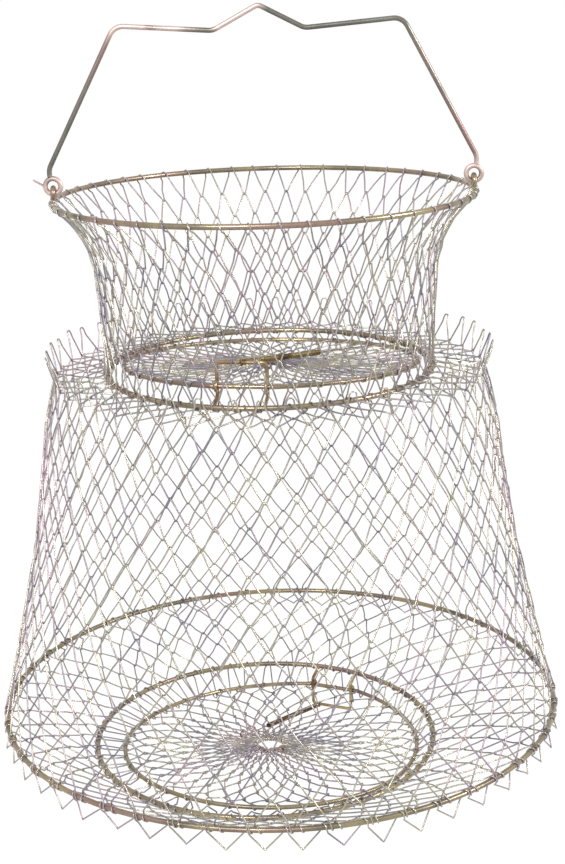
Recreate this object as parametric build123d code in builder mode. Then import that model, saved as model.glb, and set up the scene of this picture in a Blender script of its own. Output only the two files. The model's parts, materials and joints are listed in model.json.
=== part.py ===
"""Folding wire crab trap that hangs from its bail, as separate pieces.

Millimetres, +Z up. The origin is the hang point: the wire's centre at the peak of the bail.
X runs through the two bail pivots, and -Y is the front, where the top door is hinged.
Each ring of zigzag wire in the nets is one thin closed band of the net's outer shape.
"""

import os
from math import asin, cos, degrees, hypot, radians, sin, sqrt

from build123d import *

os.makedirs("parts", exist_ok=True)

# Hoops and rings: radius of the wire's centre line
HOOP_R = 165.0
SHOULDER_R = 124.0
THROAT_R = 93.4
MOUTH_R = 117.5
COLLAR_R = 103.0
TOP_DOOR_R = 84.5
BOTTOM_DOOR_R = 88.0

# Wire radii
HOOP_WIRE = 1.5
EYE_WIRE = 1.45
DOOR_WIRE = 1.25
BAIL_WIRE = 1.4
YOKE_WIRE = 1.0
EYELET_WIRE = 0.9
SPRING_WIRE = 0.45

# Heights, counted down from the hang point
PIVOT_Z = -98.5
EYE_R = 3.5
MOUTH_Z = PIVOT_Z - EYE_R
THROAT_Z = MOUTH_Z - 99.0
SHOULDER_Z = THROAT_Z - 1.0
HOOP_Z = MOUTH_Z - 304.0
SAG = 28.0
COLLAR_Z = HOOP_Z - SAG
# the sagging bottom net hangs a little to one side
COLLAR_X = -10.0

# Nets
SIDE_ROWS = 16
NECK_ROWS = 8
SHOULDER_ROWS = 3
BOTTOM_ROWS = 6
DOOR_ROWS = 5
NET = 0.7
NECK_NET = 0.3
ROW_GAP = 0.4
# how far one side row stands outside the row above it, so that the rows telescope
SIDE_STEP = 1.0
# radius of the neck at each row's edge, from the mouth down to the throat
NECK_RADII = (117.2, 106.0, 99.6, 96.8, 95.8, 95.1, 94.4, 93.7, 93.1)
NECK_STEP = 0.55
# side net: height above the hoop and radius at each bend of the bell
SIDE_PROFILE = (
    (0.0, 165.0), (9.0, 164.3), (42.0, 156.0), (105.0, 141.5), (150.0, 134.3), (180.0, 130.0), (205.0, 124.0)
)
HOOP_FRINGE_DROP = 13.0
HOOP_FRINGE_LEAN = 5.0
SHOULDER_FRINGE_RISE = 14.0
SHOULDER_FRINGE_LEAN = 3.0

# Bail, in its own plane: sideways from the middle and up from the pivot
BAIL_EYE_R = 4.3
BAIL_KINK = (119.0, 14.0)
BAIL_SHOULDER = (78.5, 90.0)
BAIL_VALLEY = (25.0, 86.0)
BAIL_BEND = 8.0
BAIL_PEAK_BEND = 4.0

# Doors: each ring has a straight bar, which turns in the two eyes of its wire yoke
BAR_HALF = 17.0
LEG_HALF = 13.5
EYE_CLEAR = 0.1
HINGE_IN = 9.0
HINGE_RISE = 9.5
KNEE_RISE = 4.0
LEG_PAST_BAR = 2.5
TIP_RISE = 22.0
LEG_BEND = 2.5
BAR_BEND = 3.0
TOP_HINGE_DEG = -100.0
TOP_DOOR_OFFSET = (6.5, 0.0)
TOP_FAR_IN = 5.5
BOTTOM_HINGE_DEG = 66.0
BOTTOM_DOOR_OFFSET = (9.0, 7.0)
BOTTOM_FAR_IN = 4.6
DOOR_EYELET_R = 9.0
DOOR_ROW_OUTER = 2.0

# Springs: coils with a straight tail
COIL_R = 2.3
COIL_BORE = 1.4
COIL_CAP = 0.8
HOOK_R = 2.1
HOOK_LIFT = 0.4
# each spring: place of its loop along the crossbar, place of its tail's end in the door's
# plane, and the coil's share of the whole
TOP_SPRING_SIDE = 0.0
TOP_HOOK = (52.0, -50.0)
TOP_COIL_SHARE = 0.58
BOTTOM_SPRING_SIDE = -9.0
BOTTOM_HOOK = (-6.0, -22.0)
BOTTOM_COIL_SHARE = 0.68


def write(builder, name):
    """Label a finished piece and write its STEP file."""
    builder.part.label = name
    export_step(builder.part, f"parts/{name}.step")


def band(inner_top, top_z, inner_bottom, bottom_z, wall):
    """Sketch and turn one closed conical band about Z, in the part being built."""
    with BuildSketch(Plane.XZ) as profile:
        with BuildLine():
            Polyline(
                (inner_top, top_z),
                (inner_bottom, bottom_z),
                (inner_bottom + wall, bottom_z),
                (inner_top + wall, top_z),
                close=True,
            )
        make_face()
    revolve(profile.sketch, axis=Axis.Z)


def ring(plane, radius, wire, arc=360.0, start=0.0):
    """Turn a round wire about the plane's normal, from the angle start through arc degrees."""
    turned = plane.rotated((0, 0, start))
    section = Plane(turned.origin, x_dir=turned.x_dir, z_dir=-turned.y_dir)
    with BuildSketch(section) as profile:
        with Locations((radius, 0)):
            Circle(wire)
    revolve(profile.sketch, axis=Axis(plane.origin, plane.z_dir), revolution_arc=arc)


def rod(start, end, radius, bore=0.0):
    """Straight round wire, or a tube with a bore, from one point to another."""
    line = end - start
    with BuildSketch(Plane(origin=start, z_dir=line)) as profile:
        Circle(radius)
        if bore:
            Circle(bore, mode=Mode.SUBTRACT)
    extrude(profile.sketch, amount=line.length)


# Bail handle: one bent wire with a round eye at each end
eye_z = PIVOT_Z + BAIL_EYE_R
valley_drop = -(PIVOT_Z + BAIL_VALLEY[1])
# the peak's corner stands above the hang point, so that its rounded wire passes through it
peak_z = BAIL_PEAK_BEND * (hypot(BAIL_VALLEY[0], valley_drop) / BAIL_VALLEY[0] - 1)
with BuildPart() as bail_handle:
    with BuildLine(Plane.XZ) as bail_path:
        right = [
            (BAIL_KINK[0], PIVOT_Z + 2 * BAIL_EYE_R + 1.0),
            (BAIL_KINK[0], PIVOT_Z + BAIL_KINK[1]),
            (BAIL_SHOULDER[0], PIVOT_Z + BAIL_SHOULDER[1]),
            (BAIL_VALLEY[0], PIVOT_Z + BAIL_VALLEY[1]),
        ]
        left = [(-u, v) for u, v in reversed(right)]
        bends = [BAIL_BEND, BAIL_BEND, BAIL_BEND, BAIL_PEAK_BEND, BAIL_BEND, BAIL_BEND, BAIL_BEND]
        FilletPolyline(*right, (0, peak_z), *left, radius=bends)
    with BuildSketch(Plane(bail_path.line @ 0, z_dir=bail_path.line % 0)):
        Circle(BAIL_WIRE)
    sweep(path=bail_path.line)
    for side in (-1, 1):
        eye = Plane((side * MOUTH_R, 0, eye_z), x_dir=(1, 0, 0), z_dir=(0, 1, 0))
        ring(eye, BAIL_EYE_R, BAIL_WIRE)
write(bail_handle, "bail_handle")

# Mouth ring: the wire takes one small upright turn at each side for the bail's eye
with BuildPart() as top_ring:
    ring(Plane((0, 0, MOUTH_Z)), MOUTH_R, HOOP_WIRE, start=90)
    for side in (-1, 1):
        eye = Plane((side * MOUTH_R, 0, PIVOT_Z), x_dir=(0, 0, 1), z_dir=(1, 0, 0))
        ring(eye, EYE_R, EYE_WIRE)
write(top_ring, "top_ring")

# Neck net: rows that slide up inside one another
neck_pitch = (MOUTH_Z - THROAT_Z - 2 * HOOP_WIRE) / NECK_ROWS
for row in range(NECK_ROWS):
    top_z = MOUTH_Z - HOOP_WIRE - row * neck_pitch - ROW_GAP / 2
    with BuildPart() as neck_row:
        band(
            NECK_RADII[row] - NECK_STEP / 2 - NECK_NET / 2,
            top_z,
            NECK_RADII[row + 1] + NECK_STEP / 2 - NECK_NET / 2,
            top_z - neck_pitch + ROW_GAP,
            NECK_NET,
        )
    write(neck_row, f"neck_row_{row + 1}")

# Throat ring, the plain hoop between the neck and the shoulder
with BuildPart() as throat_ring:
    ring(Plane((0, 0, THROAT_Z)), THROAT_R, HOOP_WIRE)
write(throat_ring, "throat_ring")

# Shoulder net: nearly flat rows from the throat out to the shoulder's edge
shoulder_start = THROAT_R + HOOP_WIRE + ROW_GAP
shoulder_pitch = (SHOULDER_R - 1.5 - shoulder_start) / SHOULDER_ROWS
shoulder_fall = (THROAT_Z - SHOULDER_Z) / (SHOULDER_R - THROAT_R)
for row in range(SHOULDER_ROWS):
    inner = shoulder_start + row * shoulder_pitch
    outer = inner + shoulder_pitch - ROW_GAP
    with BuildPart() as shoulder_row:
        with BuildSketch(Plane.XZ):
            with BuildLine():
                Polyline(
                    (inner, THROAT_Z - shoulder_fall * (inner - THROAT_R)),
                    (outer, THROAT_Z - shoulder_fall * (outer - THROAT_R)),
                    (outer, THROAT_Z - shoulder_fall * (outer - THROAT_R) - NET),
                    (inner, THROAT_Z - shoulder_fall * (inner - THROAT_R) - NET),
                    close=True,
                )
            make_face()
        revolve(axis=Axis.Z)
    write(shoulder_row, f"shoulder_row_{row + 1}")

# Free tips of the net that stand up round the shoulder's edge
with BuildPart() as shoulder_fringe:
    fringe_z = SHOULDER_Z + 1.0
    fringe_r = SHOULDER_R + SHOULDER_FRINGE_LEAN
    band(fringe_r, fringe_z + SHOULDER_FRINGE_RISE, SHOULDER_R, fringe_z, NET)
write(shoulder_fringe, "shoulder_fringe")

# Side net: rows that slide up outside one another
side_pitch = (SHOULDER_Z - HOOP_Z - 2 * HOOP_WIRE) / SIDE_ROWS
side_top = SHOULDER_Z - 1.0


def side_radius(height):
    """Radius of the bell at a height above the hoop, straight between its bends."""
    for (low_z, low_r), (high_z, high_r) in zip(SIDE_PROFILE, SIDE_PROFILE[1:]):
        if height <= high_z:
            return low_r + (high_r - low_r) * (height - low_z) / (high_z - low_z)
    return SIDE_PROFILE[-1][1]


for row in range(SIDE_ROWS):
    top_z = side_top - row * side_pitch - ROW_GAP / 2
    bottom_z = top_z - side_pitch + ROW_GAP
    with BuildPart() as side_row:
        band(
            side_radius(top_z - HOOP_Z) + SIDE_STEP / 2 - NET / 2,
            top_z,
            side_radius(bottom_z - HOOP_Z) - SIDE_STEP / 2 - NET / 2,
            bottom_z,
            NET,
        )
    write(side_row, f"side_row_{row + 1:02d}")

# Bottom hoop, the largest ring, with the free tips of the net below it
with BuildPart() as bottom_hoop:
    ring(Plane((0, 0, HOOP_Z)), HOOP_R, HOOP_WIRE)
write(bottom_hoop, "bottom_hoop")

with BuildPart() as hoop_fringe:
    fringe_top = HOOP_Z - HOOP_WIRE - ROW_GAP
    fringe_low = HOOP_Z - HOOP_FRINGE_DROP
    band(HOOP_R, fringe_top, HOOP_R + HOOP_FRINGE_LEAN, fringe_low, NET)
write(hoop_fringe, "hoop_fringe")

# Bottom net: a shallow sagging cone from the hoop in to the collar
bottom_outer = HOOP_R - HOOP_WIRE - ROW_GAP
bottom_slope = SAG / (HOOP_R - COLLAR_R)
bottom_wall = NET * sqrt(1 + bottom_slope**2) / bottom_slope
bottom_inner = COLLAR_R + HOOP_WIRE + bottom_wall
bottom_pitch = (bottom_outer - bottom_inner) / BOTTOM_ROWS
for row in range(BOTTOM_ROWS):
    rims = []
    for edge in (bottom_outer - row * bottom_pitch, bottom_outer - (row + 1) * bottom_pitch + ROW_GAP):
        drop = (HOOP_R - edge) * bottom_slope
        rims.append((Plane((COLLAR_X * drop / SAG, 0, HOOP_Z - drop)), edge))
    with BuildPart() as bottom_row:
        for plane, edge in rims:
            with BuildSketch(plane):
                Circle(edge)
        loft()
        for plane, edge in rims:
            with BuildSketch(plane):
                Circle(edge - bottom_wall)
        loft(mode=Mode.SUBTRACT)
    write(bottom_row, f"bottom_row_{row + 1}")

# Collar ring, the fixed ring round the bottom door
with BuildPart() as collar_ring:
    ring(Plane((COLLAR_X, 0, COLLAR_Z)), COLLAR_R, HOOP_WIRE)
write(collar_ring, "collar_ring")


class Hinge:
    """Where one door turns: its fixed ring, the door's plane and its bar, with up turned to out."""

    def __init__(self, centre, ring_r, hinge_deg, door_r, offset, out, far_in):
        hinge = radians(hinge_deg)
        self.centre = Vector(*centre)
        self.out = Vector(0, 0, out)
        self.away = Vector(-cos(hinge), -sin(hinge), 0)
        self.across = Vector(0, 0, 1).cross(self.away)
        self.ring_r = ring_r
        self.door_r = door_r
        self.shift = offset[1]
        self.bar_in = ring_r - HINGE_IN
        self.reach = self.bar_in + offset[0]
        self.bar = self.place(self.bar_in, 0, HINGE_RISE)
        along = (self.place(-offset[0] - door_r, 0, -far_in) - self.bar).normalized()
        flat = self.reach / along.dot(self.away)
        self.plane = Plane(
            origin=self.bar + along * flat, x_dir=along, z_dir=along.cross(self.across)
        )
        self.reach = flat

    def place(self, toward_hinge, sideways, rise):
        """A point from the fixed ring's centre: toward the hinge, sideways and outward from the trap."""
        return self.centre - self.away * toward_hinge + self.across * (sideways + self.shift) + self.out * rise


def yoke(hinge):
    """Two legs that rise from the fixed ring to a crossbar, with an eye on each round the door's bar."""
    leg_in = hinge.bar_in - LEG_PAST_BAR
    sides = (LEG_HALF, -LEG_HALF)
    feet = [hinge.place(sqrt(hinge.ring_r**2 - (y + hinge.shift) ** 2), y, 0) for y in sides]
    knees = [hinge.place(leg_in, y, KNEE_RISE) for y in sides]
    tips = [hinge.place(leg_in, y, TIP_RISE) for y in sides]
    with BuildLine() as legs:
        FilletPolyline(feet[0], knees[0], tips[0], tips[1], knees[1], feet[1], radius=LEG_BEND)
    with BuildSketch(Plane(legs.line @ 0, z_dir=legs.line % 0)) as profile:
        Circle(YOKE_WIRE)
    sweep(profile.sketch, path=legs.line)
    for y in sides:
        eye = Plane(hinge.bar + hinge.across * y, x_dir=hinge.away, z_dir=hinge.across)
        ring(eye, DOOR_WIRE + EYE_CLEAR + YOKE_WIRE, YOKE_WIRE)


def door_ring(hinge):
    """Round wire ring: a half circle at the far side, two longer arcs and the straight hinge bar."""
    rise = hinge.door_r - BAR_HALF
    near_r = (hinge.reach**2 + rise**2) / (2 * rise)
    near_arc = degrees(asin(hinge.reach / near_r))
    with BuildLine(hinge.plane) as outline:
        CenterArc((0, 0), hinge.door_r, -90, 180)
        CenterArc((0, hinge.door_r - near_r), near_r, 90, near_arc)
        bar = Line((-hinge.reach, BAR_HALF), (-hinge.reach, -BAR_HALF))
        CenterArc((0, near_r - hinge.door_r), near_r, 270 - near_arc, near_arc)
        fillet(bar.vertices(), BAR_BEND)
    with BuildSketch(Plane(outline.line @ 0, z_dir=outline.line % 0)) as profile:
        Circle(DOOR_WIRE)
    sweep(profile.sketch, path=outline.line)


def door_net(name, hinge):
    """Net rows and centre eyelet of one door, flat in the door's plane."""
    outer = hinge.door_r - DOOR_WIRE - DOOR_ROW_OUTER / 2
    pitch = (outer - DOOR_EYELET_R - EYELET_WIRE - ROW_GAP) / DOOR_ROWS
    for row in range(DOOR_ROWS):
        with BuildPart() as door_row:
            with BuildSketch(hinge.plane):
                Circle(outer - row * pitch)
                Circle(outer - (row + 1) * pitch + ROW_GAP, mode=Mode.SUBTRACT)
            extrude(amount=NET / 2, both=True)
        write(door_row, f"{name}_row_{row + 1}")
    with BuildPart() as door_eyelet:
        ring(hinge.plane, DOOR_EYELET_R, EYELET_WIRE)
    write(door_eyelet, f"{name}_eyelet")


def spring(hinge, anchor_side, hook_at, coil_share):
    """Coil that starts in a loop on the yoke's crossbar and ends in a straight tail over the net."""
    anchor = hinge.place(hinge.bar_in - LEG_PAST_BAR, anchor_side, TIP_RISE)
    lift = hinge.out.Z * (NET / 2 + SPRING_WIRE + HOOK_LIFT)
    hook = hinge.plane.from_local_coords(Vector(*hook_at, lift))
    line = (hook - anchor).normalized()
    coil_start = anchor + line * (HOOK_R + COIL_CAP)
    coil_end = anchor + line * (coil_share * (hook - anchor).length)
    rod(coil_start, coil_end, COIL_R, COIL_BORE)
    rod(coil_start - line * COIL_CAP, coil_start, COIL_R)
    rod(coil_end, coil_end + line * COIL_CAP, COIL_R)
    rod(coil_end, hook, SPRING_WIRE)
    ring(Plane(anchor, x_dir=hinge.away, z_dir=hinge.across), HOOK_R, SPRING_WIRE)


# Top door, hinged at the front of the throat on a yoke that stands up, opening down into the trap
top_hinge = Hinge(
    (0, 0, THROAT_Z), THROAT_R, TOP_HINGE_DEG, TOP_DOOR_R, TOP_DOOR_OFFSET, 1, TOP_FAR_IN
)
with BuildPart() as top_hinge_yoke:
    yoke(top_hinge)
write(top_hinge_yoke, "top_hinge_yoke")

with BuildPart() as top_door_ring:
    door_ring(top_hinge)
write(top_door_ring, "top_door_ring")

door_net("top_door", top_hinge)

with BuildPart() as top_door_spring:
    spring(top_hinge, TOP_SPRING_SIDE, TOP_HOOK, TOP_COIL_SHARE)
write(top_door_spring, "top_door_spring")

# Bottom door, hinged at the back of the collar on a yoke that hangs down, opening up into the trap
bottom_hinge = Hinge(
    (COLLAR_X, 0, COLLAR_Z), COLLAR_R, BOTTOM_HINGE_DEG, BOTTOM_DOOR_R, BOTTOM_DOOR_OFFSET, -1, BOTTOM_FAR_IN
)
with BuildPart() as bottom_hinge_yoke:
    yoke(bottom_hinge)
write(bottom_hinge_yoke, "bottom_hinge_yoke")

with BuildPart() as bottom_door_ring:
    door_ring(bottom_hinge)
write(bottom_door_ring, "bottom_door_ring")

door_net("bottom_door", bottom_hinge)

with BuildPart() as bottom_door_spring:
    spring(bottom_hinge, BOTTOM_SPRING_SIDE, BOTTOM_HOOK, BOTTOM_COIL_SHARE)
write(bottom_door_spring, "bottom_door_spring")
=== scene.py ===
import json
from math import atan2, cos, pi, radians, sin, sqrt, tau
from random import Random

import bpy
from mathutils import Matrix, Vector

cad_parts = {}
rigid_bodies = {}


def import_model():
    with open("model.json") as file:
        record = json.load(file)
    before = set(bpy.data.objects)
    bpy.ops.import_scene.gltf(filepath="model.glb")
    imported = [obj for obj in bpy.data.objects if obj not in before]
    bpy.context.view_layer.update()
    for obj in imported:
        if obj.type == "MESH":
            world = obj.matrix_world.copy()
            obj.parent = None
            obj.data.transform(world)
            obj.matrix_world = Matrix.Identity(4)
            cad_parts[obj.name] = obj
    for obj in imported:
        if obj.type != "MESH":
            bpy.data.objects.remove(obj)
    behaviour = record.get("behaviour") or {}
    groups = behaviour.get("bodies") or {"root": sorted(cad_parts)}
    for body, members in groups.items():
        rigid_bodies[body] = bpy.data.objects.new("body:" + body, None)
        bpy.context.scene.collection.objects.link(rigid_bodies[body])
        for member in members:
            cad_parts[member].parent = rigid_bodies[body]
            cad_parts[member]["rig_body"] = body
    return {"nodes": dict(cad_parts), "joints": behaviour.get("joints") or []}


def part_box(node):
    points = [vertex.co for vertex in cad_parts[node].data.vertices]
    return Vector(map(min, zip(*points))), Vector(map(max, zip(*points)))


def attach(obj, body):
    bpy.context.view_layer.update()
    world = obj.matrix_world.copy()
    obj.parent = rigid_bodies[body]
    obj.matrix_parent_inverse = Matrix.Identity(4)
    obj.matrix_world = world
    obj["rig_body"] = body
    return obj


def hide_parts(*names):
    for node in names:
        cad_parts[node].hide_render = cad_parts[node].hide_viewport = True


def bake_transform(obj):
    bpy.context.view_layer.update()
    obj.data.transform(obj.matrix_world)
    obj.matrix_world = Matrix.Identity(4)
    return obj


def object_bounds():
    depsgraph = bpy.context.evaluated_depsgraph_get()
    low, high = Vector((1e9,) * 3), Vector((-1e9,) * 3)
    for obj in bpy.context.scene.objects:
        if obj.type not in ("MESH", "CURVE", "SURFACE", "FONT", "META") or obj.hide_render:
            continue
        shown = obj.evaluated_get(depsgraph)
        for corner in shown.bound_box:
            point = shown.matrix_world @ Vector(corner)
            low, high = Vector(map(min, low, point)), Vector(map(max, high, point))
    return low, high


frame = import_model()
nodes = frame["nodes"]
cad_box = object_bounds()

# Hoops and rings: drawn steel wire about 3 mm thick, butt welded into rings and plated with
# yellow zinc, which has dulled in patches to grey and brown and keeps its gloss on the top of
# the wire. The ring that carries the bail has a small upright turn at each side.
MM = 0.001
HOOP_WIRE = 1.5 * MM
DOOR_WIRE = 1.25 * MM


def add_input(group, name, kind, value):
    """Give a node group one named input with its default."""
    socket = group.interface.new_socket(name, in_out="INPUT", socket_type=kind)
    socket.default_value = value


def plating_patina():
    """Node group: how a plated wire's colour, gloss and surface change along it."""
    group = bpy.data.node_groups.new("plating patina", "ShaderNodeTree")
    add_input(group, "Bright", "NodeSocketColor", (0.5, 0.45, 0.3, 1))
    add_input(group, "Dull", "NodeSocketColor", (0.2, 0.18, 0.15, 1))
    add_input(group, "Tint", "NodeSocketColor", (0.4, 0.3, 0.3, 1))
    add_input(group, "Patch Scale", "NodeSocketFloat", 60.0)
    add_input(group, "Gloss", "NodeSocketFloat", 0.3)
    for name, kind in (("Color", "Color"), ("Roughness", "Float"), ("Height", "Float")):
        group.interface.new_socket(name, in_out="OUTPUT", socket_type=f"NodeSocket{kind}")
    make = group.nodes.new
    link = group.links.new
    given = make("NodeGroupInput")
    out = make("NodeGroupOutput")
    place = make("ShaderNodeTexCoord")

    patches = make("ShaderNodeTexNoise")
    patches.inputs["Detail"].default_value = 3.0
    link(place.outputs["Object"], patches.inputs["Vector"])
    link(given.outputs["Patch Scale"], patches.inputs["Scale"])
    dulled = make("ShaderNodeMapRange")
    dulled.inputs["From Min"].default_value = 0.4
    dulled.inputs["From Max"].default_value = 0.62
    link(patches.outputs["Fac"], dulled.inputs["Value"])
    base = make("ShaderNodeMix")
    base.data_type = "RGBA"
    link(dulled.outputs["Result"], base.inputs["Factor"])
    link(given.outputs["Bright"], base.inputs["A"])
    link(given.outputs["Dull"], base.inputs["B"])

    rainbow_scale = make("ShaderNodeMath")
    rainbow_scale.operation = "MULTIPLY"
    rainbow_scale.inputs[1].default_value = 0.37
    link(given.outputs["Patch Scale"], rainbow_scale.inputs[0])
    rainbow = make("ShaderNodeTexNoise")
    rainbow.inputs["Detail"].default_value = 1.0
    rainbow.inputs["Distortion"].default_value = 0.8
    link(place.outputs["Object"], rainbow.inputs["Vector"])
    link(rainbow_scale.outputs["Value"], rainbow.inputs["Scale"])
    tinted = make("ShaderNodeMapRange")
    tinted.inputs["From Min"].default_value = 0.5
    tinted.inputs["From Max"].default_value = 0.66
    tinted.inputs["To Max"].default_value = 0.75
    link(rainbow.outputs["Fac"], tinted.inputs["Value"])
    hue = make("ShaderNodeMix")
    hue.data_type = "RGBA"
    link(tinted.outputs["Result"], hue.inputs["Factor"])
    link(base.outputs["Result"], hue.inputs["A"])
    link(given.outputs["Tint"], hue.inputs["B"])

    grain = make("ShaderNodeTexNoise")
    grain.inputs["Scale"].default_value = 1400.0
    grain.inputs["Detail"].default_value = 2.0
    link(place.outputs["Object"], grain.inputs["Vector"])
    pits = make("ShaderNodeMapRange")
    pits.inputs["From Min"].default_value = 0.3
    pits.inputs["From Max"].default_value = 0.5
    pits.inputs["To Min"].default_value = 0.7
    link(grain.outputs["Fac"], pits.inputs["Value"])
    darkened = make("ShaderNodeMix")
    darkened.data_type = "RGBA"
    darkened.blend_type = "MULTIPLY"
    darkened.inputs["Factor"].default_value = 1.0
    link(hue.outputs["Result"], darkened.inputs["A"])
    link(pits.outputs["Result"], darkened.inputs["B"])
    link(darkened.outputs["Result"], out.inputs["Color"])

    rough = make("ShaderNodeMath")
    rough.operation = "MULTIPLY_ADD"
    rough.inputs[1].default_value = 0.22
    link(dulled.outputs["Result"], rough.inputs[0])
    link(given.outputs["Gloss"], rough.inputs[2])
    link(rough.outputs["Value"], out.inputs["Roughness"])
    link(grain.outputs["Fac"], out.inputs["Height"])
    return group


PATINA = plating_patina()


def plated_wire(name, bright, dull, tint, patch_scale, gloss):
    """Material of one plated wire: the patina drives its colour, roughness and fine bump."""
    material = bpy.data.materials.new(name)
    material.use_nodes = True
    tree = material.node_tree
    shader = tree.nodes["Principled BSDF"]
    shader.inputs["Metallic"].default_value = 0.9
    patina = tree.nodes.new("ShaderNodeGroup")
    patina.node_tree = PATINA
    patina.inputs["Bright"].default_value = (*bright, 1)
    patina.inputs["Dull"].default_value = (*dull, 1)
    patina.inputs["Tint"].default_value = (*tint, 1)
    patina.inputs["Patch Scale"].default_value = patch_scale
    patina.inputs["Gloss"].default_value = gloss
    bump = tree.nodes.new("ShaderNodeBump")
    bump.inputs["Strength"].default_value = 0.25
    bump.inputs["Distance"].default_value = 0.0002
    tree.links.new(patina.outputs["Color"], shader.inputs["Base Color"])
    tree.links.new(patina.outputs["Roughness"], shader.inputs["Roughness"])
    tree.links.new(patina.outputs["Height"], bump.inputs["Height"])
    tree.links.new(bump.outputs["Normal"], shader.inputs["Normal"])
    return material


def finish_node(name, material):
    """Give a carried-over CAD node its material."""
    mesh = nodes[name].data
    mesh.materials.clear()
    mesh.materials.append(material)


hoop_finish = plated_wire(
    "yellow zinc hoop wire",
    (0.38, 0.315, 0.195),
    (0.19, 0.16, 0.12),
    (0.33, 0.225, 0.185),
    45.0,
    0.2,
)
for name in (
    "top_ring",
    "throat_ring",
    "bottom_hoop",
    "collar_ring",
    "top_door_ring",
    "bottom_door_ring",
):
    finish_node(name, hoop_finish)


# Bail handle: one 2.8 mm wire bent to a peak with two shoulders, with a round eye at each end
# that runs in the mouth ring's turns. Its plating is dull grey. A pale pinkish painted highlight
# is laid along the top from the left shoulder to the peak, and down by the eyes.
# Bounds of the bail's painted pinkish highlight: across from the left shoulder to the peak on the
# upper part, and all of the wire below the low mark by the eyes.
PAINTED_HIGHLIGHT_LEFT = -83.0 * MM
PAINTED_HIGHLIGHT_RIGHT = 2.0 * MM
PAINTED_HIGHLIGHT_UNDER = -14.0 * MM
PAINTED_HIGHLIGHT_LOW = -86.0 * MM
bail_finish = plated_wire(
    "dull bail wire", (0.21, 0.205, 0.175), (0.13, 0.13, 0.115), (0.34, 0.22, 0.20), 30.0, 0.28
)


def ramp_mask(tree, value, start, end):
    """Socket that goes from 0 to 1 as a value goes from start to end."""
    ramp = tree.nodes.new("ShaderNodeMapRange")
    ramp.inputs["From Min"].default_value = start
    ramp.inputs["From Max"].default_value = end
    tree.links.new(value, ramp.inputs["Value"])
    return ramp.outputs["Result"]


def joined_mask(tree, operation, first, second):
    """Socket that holds two masks multiplied, added or compared."""
    both = tree.nodes.new("ShaderNodeMath")
    both.operation = operation
    tree.links.new(first, both.inputs[0])
    tree.links.new(second, both.inputs[1])
    return both.outputs["Value"]


def add_painted_highlight(material):
    """Lay the pale pinkish painted highlight over the bail's colour, broken up by a soft noise."""
    tree = material.node_tree
    place = tree.nodes.new("ShaderNodeTexCoord")
    split = tree.nodes.new("ShaderNodeSeparateXYZ")
    tree.links.new(place.outputs["Object"], split.inputs["Vector"])
    across, height = split.outputs["X"], split.outputs["Z"]
    left = ramp_mask(tree, across, PAINTED_HIGHLIGHT_LEFT - 3 * MM, PAINTED_HIGHLIGHT_LEFT + 3 * MM)
    right = ramp_mask(tree, across, PAINTED_HIGHLIGHT_RIGHT + 3 * MM, PAINTED_HIGHLIGHT_RIGHT - 3 * MM)
    top = ramp_mask(tree, height, PAINTED_HIGHLIGHT_UNDER - 6 * MM, PAINTED_HIGHLIGHT_UNDER + 2 * MM)
    low = ramp_mask(tree, height, PAINTED_HIGHLIGHT_LOW + 4 * MM, PAINTED_HIGHLIGHT_LOW - 3 * MM)
    stretch = joined_mask(tree, "MULTIPLY", joined_mask(tree, "MULTIPLY", left, right), top)
    wide = joined_mask(tree, "MAXIMUM", stretch, low)
    noise = tree.nodes.new("ShaderNodeTexNoise")
    noise.inputs["Scale"].default_value = 55.0
    noise.inputs["Detail"].default_value = 1.0
    tree.links.new(place.outputs["Object"], noise.inputs["Vector"])
    broken = joined_mask(tree, "MULTIPLY", wide, ramp_mask(tree, noise.outputs["Fac"], 0.36, 0.5))
    shader = tree.nodes["Principled BSDF"]
    blend = tree.nodes.new("ShaderNodeMix")
    blend.data_type = "RGBA"
    tree.links.new(broken, blend.inputs["Factor"])
    tree.links.new(shader.inputs["Base Color"].links[0].from_socket, blend.inputs["A"])
    # pale pink colour of the painted highlight
    blend.inputs["B"].default_value = (0.60, 0.47, 0.43, 1)
    tree.links.new(blend.outputs["Result"], shader.inputs["Base Color"])


add_painted_highlight(bail_finish)
finish_node("bail_handle", bail_finish)


# Hinge yokes: 2 mm wire bent to a U, its feet welded to the fixed ring and its eyes round the
# door's bar, brown where the welding burned the plating off.
yoke_finish = plated_wire(
    "burnt yoke wire", (0.42, 0.31, 0.18), (0.20, 0.11, 0.06), (0.50, 0.42, 0.22), 90.0, 0.28
)
for name in ("top_hinge_yoke", "bottom_hinge_yoke"):
    finish_node(name, yoke_finish)

# Gather eyelets: the small reddish rings that close each door's net in the middle
eyelet_finish = plated_wire(
    "reddish eyelet wire", (0.36, 0.20, 0.13), (0.22, 0.13, 0.09), (0.45, 0.33, 0.20), 150.0, 0.3
)
for name in ("top_door_eyelet", "bottom_door_eyelet"):
    finish_node(name, eyelet_finish)


# Neck net: rings of 0.9 mm zigzag wire from the mouth ring down to the throat ring. Each ring's
# lower tips hook under the next ring's upper tips, and the tips at each end wrap a ring. The
# wires are never quite straight, and every link sits a little off its place.
NET_WIRE = 0.45 * MM
CELLS = 50
LINK_DEPTH = 0.55 * MM
LINK_HALF = 0.7 * MM
SIDE_OFFSET = 0.42 * MM
LINK_SLIP = 0.55 * MM
LEG_BOW = 0.5 * MM

net_finish = plated_wire(
    "net wire", (0.47, 0.44, 0.35), (0.27, 0.245, 0.28), (0.46, 0.35, 0.40), 35.0, 0.22
)


def ring_of(node, wire):
    """Centre and centre-line radius of a ring that lies flat, from its CAD box."""
    low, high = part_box(node)
    centre = (low + high) / 2
    return centre, (high.y - low.y) / 2 - wire


class Level:
    """One round of link points: its place by angle, the way back up the net, and outward."""

    def __init__(self, at, up, out, wrap=0.0):
        self.at = at
        self.up = up
        self.out = out
        self.wrap = wrap


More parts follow.
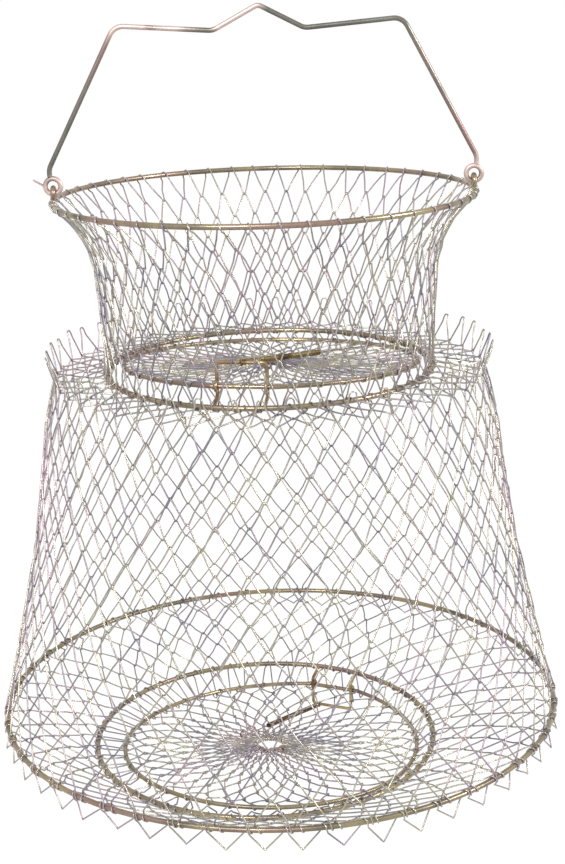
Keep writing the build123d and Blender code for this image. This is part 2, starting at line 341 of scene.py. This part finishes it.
def round_level(centre, radius, lean, wrap=0.0):
    """Level on a flat circle. lean is the net's tilt there: 0 for upright, 90 for flat."""
    tilt = radians(lean)

    def at(angle):
        return centre + radius * Vector((cos(angle), sin(angle), 0))

    def up(angle):
        return Vector((-cos(angle) * sin(tilt), -sin(angle) * sin(tilt), cos(tilt)))

    def out(angle):
        return Vector((cos(angle) * cos(tilt), sin(angle) * cos(tilt), sin(tilt)))

    return Level(at, up, out, wrap)


def link_tip(level, angle, sign, slip, depth):
    """Points of one V tip: a round bend over its link, or a wrap round a ring's wire.

    sign is +1 for a tip that points back up the net and -1 for one that points down it.
    """
    up = level.up(angle)
    out = level.out(angle)
    along = out.cross(up)
    if along.dot(Vector((-sin(angle), cos(angle), 0))) < 0:
        along = -along
    centre = level.at(angle) + along * slip[0] + up * slip[1]
    if level.wrap:
        centre = level.at(angle) + along * slip[0]
        reach = level.wrap + NET_WIRE
        shape = (
            (-1.9 * MM, -1.9 * reach, -0.5 * reach),
            (-1.3 * MM, -0.5 * reach, -reach),
            (-0.6 * MM, 0.75 * reach, -0.7 * reach),
            (0.0, 1.05 * reach, 0.0),
            (0.6 * MM, 0.75 * reach, 0.7 * reach),
            (1.3 * MM, -0.5 * reach, reach),
            (1.9 * MM, -1.9 * reach, 0.5 * reach),
        )
    else:
        shape = (
            (-LINK_HALF, depth - 0.95 * LINK_HALF, -SIDE_OFFSET),
            (-0.45 * LINK_HALF, depth - 0.18 * LINK_HALF, -0.6 * SIDE_OFFSET),
            (0.45 * LINK_HALF, depth - 0.18 * LINK_HALF, 0.6 * SIDE_OFFSET),
            (LINK_HALF, depth - 0.95 * LINK_HALF, SIDE_OFFSET),
        )
    # a tip that points down meets its wire coming down on the outside
    return [centre + along * u + up * (v * sign) + out * (w * sign) for u, v, w in shape]


def wire_mesh(name, points, radius, closed=True):
    """Mesh of a round wire through the points."""
    curve = bpy.data.curves.new(name, "CURVE")
    curve.dimensions = "3D"
    curve.bevel_depth = radius
    curve.bevel_resolution = 1
    curve.use_fill_caps = not closed
    spline = curve.splines.new("POLY")
    spline.points.add(len(points) - 1)
    for point, place in zip(spline.points, points):
        point.co = (*place, 1)
    spline.use_cyclic_u = closed
    holder = bpy.data.objects.new(name, curve)
    bpy.context.scene.collection.objects.link(holder)
    bpy.context.view_layer.update()
    mesh = bpy.data.meshes.new_from_object(holder)
    bpy.data.objects.remove(holder)
    bpy.data.curves.remove(curve)
    for polygon in mesh.polygons:
        polygon.use_smooth = True
    piece = bpy.data.objects.new(name, mesh)
    bpy.context.scene.collection.objects.link(piece)
    return piece


class Net:
    """Rows of zigzag wire between levels, with the slip of every link shared by its two rows."""

    def __init__(self, seed, cells, levels, phase=0.0):
        self.draw = Random(seed)
        self.cells = cells
        self.levels = levels
        self.phase = phase
        self.slips = [
            [
                (self.draw.gauss(0, LINK_SLIP), self.draw.gauss(0, LINK_SLIP * 0.7))
                for _ in range(cells)
            ]
            for _ in levels
        ]

    def angle(self, level, index):
        return tau * (index + self.phase + level / 2) / self.cells

    def row(self, index):
        """Points of the closed wire between level index and level index + 1."""
        upper, lower = self.levels[index], self.levels[index + 1]
        points = []
        for cell in range(self.cells):
            top = link_tip(upper, self.angle(index, cell), 1, self.slips[index][cell], LINK_DEPTH)
            low = link_tip(
                lower, self.angle(index + 1, cell), -1, self.slips[index + 1][cell], LINK_DEPTH
            )
            points += top + [self.bow(top[-1], low[0])] + low
            following = link_tip(
                upper,
                self.angle(index, cell + 1),
                1,
                self.slips[index][(cell + 1) % self.cells],
                LINK_DEPTH,
            )
            points.append(self.bow(low[-1], following[0]))
        return points

    def bow(self, start, end):
        """Middle of a leg, a little off the straight line."""
        away = Vector((self.draw.gauss(0, 1), self.draw.gauss(0, 1), self.draw.gauss(0, 1)))
        return (start + end) / 2 + away * LEG_BOW * 0.5


def hang_row(net, index, node, name):
    """Make one row of a net, which stands for its CAD band and rides on the band's body."""
    piece = wire_mesh(name, net.row(index), NET_WIRE)
    piece.data.materials.append(net_finish)
    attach(piece, nodes[node]["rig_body"])
    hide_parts(node)


mouth, mouth_r = ring_of("top_ring", HOOP_WIRE)
mouth.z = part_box("neck_row_1")[1].z + HOOP_WIRE
throat, throat_r = ring_of("throat_ring", HOOP_WIRE)
neck_levels = [round_level(mouth, mouth_r, -48, HOOP_WIRE)]
for row in range(2, 9):
    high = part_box(f"neck_row_{row}")[1]
    neck_levels.append(round_level(Vector((0, 0, high.z)), high.x, -30 / (row - 0.6)))
neck_levels.append(round_level(throat, throat_r, 0, HOOP_WIRE))
neck_net = Net(11, CELLS, neck_levels)
for row in range(8):
    hang_row(neck_net, row, f"neck_row_{row + 1}", f"neck_net_{row + 1}")


# Shoulder net: three nearly flat rings of the same wire between the throat ring and the top of
# the side net, with free narrow tips that stand up round the edge.
edge_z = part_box("side_row_01")[1].z
shoulder_levels = [round_level(throat, throat_r, 90, HOOP_WIRE)]
for row in (1, 2):
    low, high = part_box(f"shoulder_row_{row}")
    shoulder_levels.append(round_level(Vector((0, 0, (low.z + high.z) / 2)), high.x, 88))
shoulder_edge = Vector((0, 0, edge_z + 0.6 * MM))
shoulder_edge_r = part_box("shoulder_row_3")[1].x + 1.2 * MM
shoulder_levels.append(round_level(shoulder_edge, shoulder_edge_r, 60))
shoulder_net = Net(12, CELLS, shoulder_levels, phase=0.25)
for row in range(3):
    hang_row(shoulder_net, row, f"shoulder_row_{row + 1}", f"shoulder_net_{row + 1}")

FRINGE_HALF = 2.3 * MM
ROUND_REACH = 5.0 * MM
SHARP_HALF = 0.9 * MM


def fringe(name, node, net, level, base_sign, tip_at, tip_half):
    """Wire hooked at every link of one level, with a free tip between each pair of links.

    base_sign is +1 where the tips stand up the net and -1 where they point down it. tip_half is
    half the width of a rounded tip, and 0 for a pointed one.
    """
    points = []
    for cell in range(net.cells):
        angle = net.angle(level, cell)
        points += link_tip(
            net.levels[level], angle, -base_sign, net.slips[level][cell], LINK_DEPTH
        )
        middle = angle + pi / net.cells
        centre, up, along = tip_at(middle)
        lean = along * net.draw.gauss(0, 0.9 * MM) + up * net.draw.gauss(0, 0.7 * MM)
        tip = centre + lean
        if tip_half:
            points += [
                tip - along * tip_half - up * ROUND_REACH,
                tip - along * tip_half * 0.8 - up * 1.6 * MM,
                tip - along * tip_half * 0.4 - up * 0.3 * MM,
                tip + along * tip_half * 0.4 - up * 0.3 * MM,
                tip + along * tip_half * 0.8 - up * 1.6 * MM,
                tip + along * tip_half - up * ROUND_REACH,
            ]
        else:
            points += [
                tip - along * SHARP_HALF - up * 1.0 * MM,
                tip,
                tip + along * SHARP_HALF - up * 1.0 * MM,
            ]
    piece = wire_mesh(name, points, NET_WIRE)
    piece.data.materials.append(net_finish)
    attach(piece, nodes[node]["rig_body"])
    return piece


fringe_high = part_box("shoulder_fringe")[1]


def shoulder_tip(angle):
    """Tip of the shoulder fringe at an angle: its place, its upward way and its sideways way."""
    outward = Vector((cos(angle), sin(angle), 0))
    up = (outward * 0.3 + Vector((0, 0, 1))).normalized()
    place = outward * fringe_high.x + Vector((0, 0, fringe_high.z))
    return place, up, Vector((-sin(angle), cos(angle), 0))


shoulder_fringe = fringe(
    "shoulder_fringe_wire", "shoulder_fringe", shoulder_net, 3, 1, shoulder_tip, FRINGE_HALF
)
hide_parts("shoulder_fringe")


# Side net: sixteen rings of zigzag wire in a bell, from the shoulder's edge down to the bottom
# hoop, which the last ring's tips wrap.
hoop, hoop_r = ring_of("bottom_hoop", HOOP_WIRE)
side_levels = [round_level(shoulder_edge, shoulder_edge_r, 15)]
for row in range(1, 16):
    low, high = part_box(f"side_row_{row:02d}")
    side_levels.append(round_level(Vector((0, 0, low.z)), high.x - 0.4 * MM, 12))
side_levels.append(round_level(hoop, hoop_r, 4, HOOP_WIRE))
side_net = Net(13, CELLS, side_levels, phase=0.25 + 1.5)
for row in range(16):
    hang_row(side_net, row, f"side_row_{row + 1:02d}", f"side_net_{row + 1:02d}")


# Free tips below the bottom hoop: one more ring of the net, hooked over the hoop, whose lower
# points hang free and lean a little outward.
SKIRT_DROP = 10.5 * MM
skirt_net = Net(14, CELLS, [round_level(hoop, hoop_r, -20, HOOP_WIRE)], phase=0.55)


def skirt_tip(angle):
    """Tip of the hoop's fringe at an angle: its place, the way it points and its sideways way."""
    outward = Vector((cos(angle), sin(angle), 0))
    down = (outward * 0.2 - Vector((0, 0, 1))).normalized()
    place = outward * (hoop_r + 2.0 * MM) + Vector((0, 0, hoop.z - SKIRT_DROP))
    return place, down, Vector((-sin(angle), cos(angle), 0))


hoop_fringe = fringe("hoop_fringe_wire", "hoop_fringe", skirt_net, 0, -1, skirt_tip, 0)
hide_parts("hoop_fringe")


# Bottom net: six flat-lying rings that sag from the hoop in to the collar ring, and hang a
# little to one side.
collar, collar_r = ring_of("collar_ring", HOOP_WIRE)
bottom_levels = [round_level(hoop, hoop_r, -68, HOOP_WIRE)]
for row in range(1, 6):
    share = row / 6
    radius = hoop_r + (collar_r - hoop_r) * share
    bottom_levels.append(round_level(hoop.lerp(collar, share), radius, -67))
bottom_levels.append(round_level(collar, collar_r, -67, HOOP_WIRE))
bottom_net = Net(15, CELLS, bottom_levels, phase=0.9)
for row in range(6):
    hang_row(bottom_net, row, f"bottom_row_{row + 1}", f"bottom_net_{row + 1}")


# Door nets: seven rings of zigzag wire in each door, wrapped on the door's ring and gathered on
# the eyelet in the middle. The outer cells are long, and the inner ones close up.
DOOR_CELLS = 40
DOOR_SHARES = (1.0, 0.86, 0.71, 0.56, 0.42, 0.28, 0.15, 0.0)
BAR_HALF = 17.0 * MM
EYELET_WIRE = 0.9 * MM
EYELET_R = 9.0 * MM
DOOR_SAG = 2.5 * MM


def joint_named(name):
    """The record of one joint."""
    return next(joint for joint in frame["joints"] if joint["name"] == name)


class Door:
    """A door's plane and outline, from its hinge, its eyelet and its ring."""

    def __init__(self, name, radius, out):
        hinge = joint_named(f"{name}_hinge")
        self.bar = Vector(hinge["pos_m"])
        low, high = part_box(f"{name}_eyelet")
        self.centre = (low + high) / 2
        self.along = (self.centre - self.bar).normalized()
        self.across = Vector(hinge["axis"]).normalized() * -out
        self.normal = self.along.cross(self.across)
        self.up = Vector((0, 0, out))
        self.reach = (self.centre - self.bar).length
        self.radius = radius

    def outline(self, angle):
        """Distance from the eyelet to the ring's wire, toward the far edge at angle 0."""
        if cos(angle) >= 0:
            return self.radius
        rise = self.radius - BAR_HALF
        near_r = (self.reach**2 + rise**2) / (2 * rise)
        drop = near_r - self.radius
        height = abs(sin(angle))
        arc = sqrt(near_r**2 - drop**2 * (1 - height**2)) - drop * height
        return min(arc, self.reach / max(-cos(angle), 1e-6))

    def level(self, share, wrap):
        """Level of the door's net at a share of the way from the eyelet to the ring."""

        def at(angle):
            distance = EYELET_R + (self.outline(angle) - EYELET_R) * share
            sag = DOOR_SAG * sin(pi * share)
            inward = self.along * cos(angle) + self.across * sin(angle)
            return self.centre + inward * distance - Vector((0, 0, sag))

        def up(angle):
            return self.along * cos(angle) + self.across * sin(angle)

        return Level(at, up, lambda angle: self.normal, wrap)


def door_net(name, door, seed):
    """The rows of one door's net as one piece."""
    levels = [door.level(share, 0.0) for share in DOOR_SHARES]
    levels[0].wrap = DOOR_WIRE
    levels[-1].wrap = EYELET_WIRE
    net = Net(seed, DOOR_CELLS, levels)
    rows = [
        wire_mesh(f"{name}_{row}", net.row(row), NET_WIRE) for row in range(len(DOOR_SHARES) - 1)
    ]
    with bpy.context.temp_override(active_object=rows[0], selected_editable_objects=rows):
        bpy.ops.object.join()
    piece = rows[0]
    piece.name = name
    piece.data.materials.append(net_finish)
    return piece


top_door = Door("top_door", 84.5 * MM, 1)
bottom_door = Door("bottom_door", 88.0 * MM, -1)
for name, door, seed in (("top_door", top_door, 16), ("bottom_door", bottom_door, 17)):
    piece = door_net(f"{name}_net", door, seed)
    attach(piece, name)
    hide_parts(*(f"{name}_row_{row}" for row in range(1, 6)))


# Free tips inside the collar: one more ring of the net, hooked over the collar ring, whose
# points reach in under the edge of the bottom door.
UNDER_DOOR = 2.8 * MM
collar_net = Net(18, CELLS, [round_level(collar, collar_r, -80, HOOP_WIRE)], phase=0.4)


def collar_tip(angle):
    """Tip under the door's ring at an angle: its place, the way it points and its sideways way."""
    outward = Vector((cos(angle), sin(angle), 0))
    root = collar + outward * collar_r
    toward = root - bottom_door.centre
    turn = atan2(toward.dot(bottom_door.across), toward.dot(bottom_door.along))
    edge = bottom_door.outline(turn) - 1.5 * MM
    inward = bottom_door.along * cos(turn) + bottom_door.across * sin(turn)
    place = bottom_door.centre + inward * edge + bottom_door.up * UNDER_DOOR
    return place, (place - root).normalized(), Vector((-sin(angle), cos(angle), 0))


fringe("collar_fringe_wire", "collar_ring", collar_net, 0, -1, collar_tip, 0)


# Door springs: close-wound coils of 0.7 mm bronze-coloured wire. A loop at one end hangs on the
# yoke's crossbar, and a straight tail at the other hooks into the door's net.
SPRING_WIRE = 0.35 * MM
COIL_R = 1.3 * MM
COIL_PITCH = 0.85 * MM
LOOP_R = 1.75 * MM
LEG_PAST_BAR = 2.5 * MM
TIP_PAST_BAR = 12.5 * MM
COIL_START = 2.9 * MM
HOOK_R = 1.6 * MM
HOOK_LEAD = 4.0 * MM
spring_finish = plated_wire(
    "bronze spring wire", (0.16, 0.10, 0.045), (0.08, 0.05, 0.025), (0.24, 0.18, 0.08), 120.0, 0.25
)


def door_spring(name, door, yoke_side, hook_at, coil_share):
    """Helix from the crossbar's loop, then the straight tail and its hook."""
    level_along = Vector((door.along.x, door.along.y, 0)).normalized()
    anchor = (
        door.bar + level_along * LEG_PAST_BAR + door.up * TIP_PAST_BAR + door.across * yoke_side
    )
    hook = door.centre + door.along * hook_at[0] + door.across * hook_at[1] + door.up * 1.2 * MM
    line = (hook - anchor).normalized()
    side = line.cross(door.across).normalized()
    third = line.cross(side)
    points = []
    for step in range(15):
        turn = radians(200 - 320 * step / 14)
        points.append(anchor + line * LOOP_R * cos(turn) + side * LOOP_R * sin(turn))
    length = (hook - anchor).length * coil_share - COIL_START
    steps = int(length / COIL_PITCH) * 10
    for step in range(steps + 1):
        turn = tau * step / 10
        grown = min(1.0, step / 6, (steps - step) / 6)
        rim = (side * cos(turn) + third * sin(turn)) * COIL_R * grown
        points.append(anchor + line * (COIL_START + length * step / steps) + rim)
    points.append(hook - line * HOOK_LEAD)
    for step in range(9):
        turn = radians(-90 + 260 * step / 8)
        points.append(hook + line * HOOK_R * cos(turn) + side * HOOK_R * (1 + sin(turn)))
    piece = wire_mesh(name, points, SPRING_WIRE, closed=False)
    piece.data.materials.append(spring_finish)
    return piece, anchor, hook


for door_name, door, fixed, yoke_side, hook_at, coil_share in (
    ("top_door", top_door, "throat", 0.0, (52 * MM, -50 * MM), 0.58),
    ("bottom_door", bottom_door, "base", -9 * MM, (-6 * MM, -22 * MM), 0.68),
):
    piece, anchor, hook = door_spring(f"{door_name}_coil", door, yoke_side, hook_at, coil_share)
    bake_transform(piece)
    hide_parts(f"{door_name}_spring")


# Free wire end at the left eye of the bail, where the bent wire was cut
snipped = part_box("bail_handle")[0]
tail_root = Vector((snipped.x + 1.5 * MM, 0.6 * MM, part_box("top_ring")[1].z - 1.0 * MM))
tail_points = [tail_root + Vector((-1.6 * step, -0.5 * step, 1.1 * step)) * MM for step in range(5)]
tail = wire_mesh("bail_wire_end", tail_points, 0.6 * MM, closed=False)
tail.data.materials.append(bail_finish)
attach(tail, "bail")


# Stage: the trap hangs over a plain white floor that runs up into a white background, under
# two soft lamps, one above the front and one to the right.
FLOOR_GAP = 0.32


def seen_directly(tree):
    """Socket that is 1 for rays that show the background: camera, mirror and see-through rays."""
    rays = tree.nodes.new("ShaderNodeLightPath")
    camera_or_glossy = joined_mask(
        tree, "MAXIMUM", rays.outputs["Is Camera Ray"], rays.outputs["Is Glossy Ray"]
    )
    return joined_mask(tree, "MAXIMUM", camera_or_glossy, rays.outputs["Is Transmission Ray"])


bpy.ops.mesh.primitive_plane_add(size=40, location=(0, 0, cad_box[0][2] - FLOOR_GAP))
floor = bpy.context.object
floor.name = "floor"
floor_paint = bpy.data.materials.new("white floor")
floor_paint.use_nodes = True
floor_tree = floor_paint.node_tree
paint = floor_tree.nodes["Principled BSDF"]
paint.inputs["Base Color"].default_value = (0.92, 0.92, 0.92, 1)
paint.inputs["Roughness"].default_value = 0.9
floor_shown = floor_tree.nodes.new("ShaderNodeEmission")
floor_shown.inputs["Color"].default_value = (1, 1, 1, 1)
floor_shown.inputs["Strength"].default_value = 1.06
floor_share = floor_tree.nodes.new("ShaderNodeMath")
floor_share.operation = "MULTIPLY"
floor_share.inputs[1].default_value = 0.86
floor_blend = floor_tree.nodes.new("ShaderNodeMixShader")
floor_links = floor_tree.links
floor_links.new(seen_directly(floor_tree), floor_share.inputs[0])
floor_links.new(floor_share.outputs["Value"], floor_blend.inputs["Fac"])
floor_links.new(paint.outputs["BSDF"], floor_blend.inputs[1])
floor_links.new(floor_shown.outputs["Emission"], floor_blend.inputs[2])
floor_links.new(
    floor_blend.outputs["Shader"], floor_tree.nodes["Material Output"].inputs["Surface"]
)
floor.data.materials.append(floor_paint)

world = bpy.data.worlds.new("studio")
bpy.context.scene.world = world
world.use_nodes = True
sky = world.node_tree
sky_light = sky.nodes["Background"]
sky_light.inputs["Color"].default_value = (0.97, 0.98, 1.0, 1)
sky_light.inputs["Strength"].default_value = 0.75
sky_shown = sky.nodes.new("ShaderNodeBackground")
sky_shown.inputs["Color"].default_value = (1, 1, 1, 1)
sky_shown.inputs["Strength"].default_value = 1.0
blend_sky = sky.nodes.new("ShaderNodeMixShader")
sky.links.new(seen_directly(sky), blend_sky.inputs["Fac"])
sky.links.new(sky_light.outputs["Background"], blend_sky.inputs[1])
sky.links.new(sky_shown.outputs["Background"], blend_sky.inputs[2])
sky.links.new(blend_sky.outputs["Shader"], sky.nodes["World Output"].inputs["Surface"])


def soft_lamp(name, place, aim, size, power):
    """Large soft lamp at a place, turned to an aim."""
    light = bpy.data.lights.new(name, "AREA")
    light.size = size
    light.energy = power
    lamp = bpy.data.objects.new(name, light)
    lamp.location = place
    lamp.rotation_euler = (Vector(aim) - Vector(place)).to_track_quat("-Z", "Y").to_euler()
    bpy.context.scene.collection.objects.link(lamp)


middle = (0, 0, -0.22)
soft_lamp("front lamp", (-0.4, -1.3, 0.8), middle, 0.45, 16)
soft_lamp("side lamp", (1.3, -0.4, 0.4), middle, 0.4, 12)
bpy.context.scene.view_settings.view_transform = "Standard"

# Camera: a little above the mouth, looking down at the bottom net, and turned by a degree or
# two because the trap hangs out of true.
CAMERA_AT = (6.2 * MM, -905.2 * MM, 20.9 * MM)
CAMERA_PITCH = radians(16.14)
CAMERA_ROLL = radians(1.8)
FOCAL = 1615.0
FRAME_HEIGHT = 864
camera_data = bpy.data.cameras.new("camera")
camera_data.sensor_fit = "VERTICAL"
camera_data.sensor_height = 36.0
camera_data.lens = FOCAL * 36.0 / FRAME_HEIGHT
camera_data.clip_start = 0.01
camera = bpy.data.objects.new("camera", camera_data)
looking = Matrix.Rotation(pi / 2 - CAMERA_PITCH, 4, "X") @ Matrix.Rotation(-CAMERA_ROLL, 4, "Z")
camera.matrix_world = Matrix.Translation(CAMERA_AT) @ looking
bpy.context.scene.collection.objects.link(camera)
bpy.context.scene.camera = camera
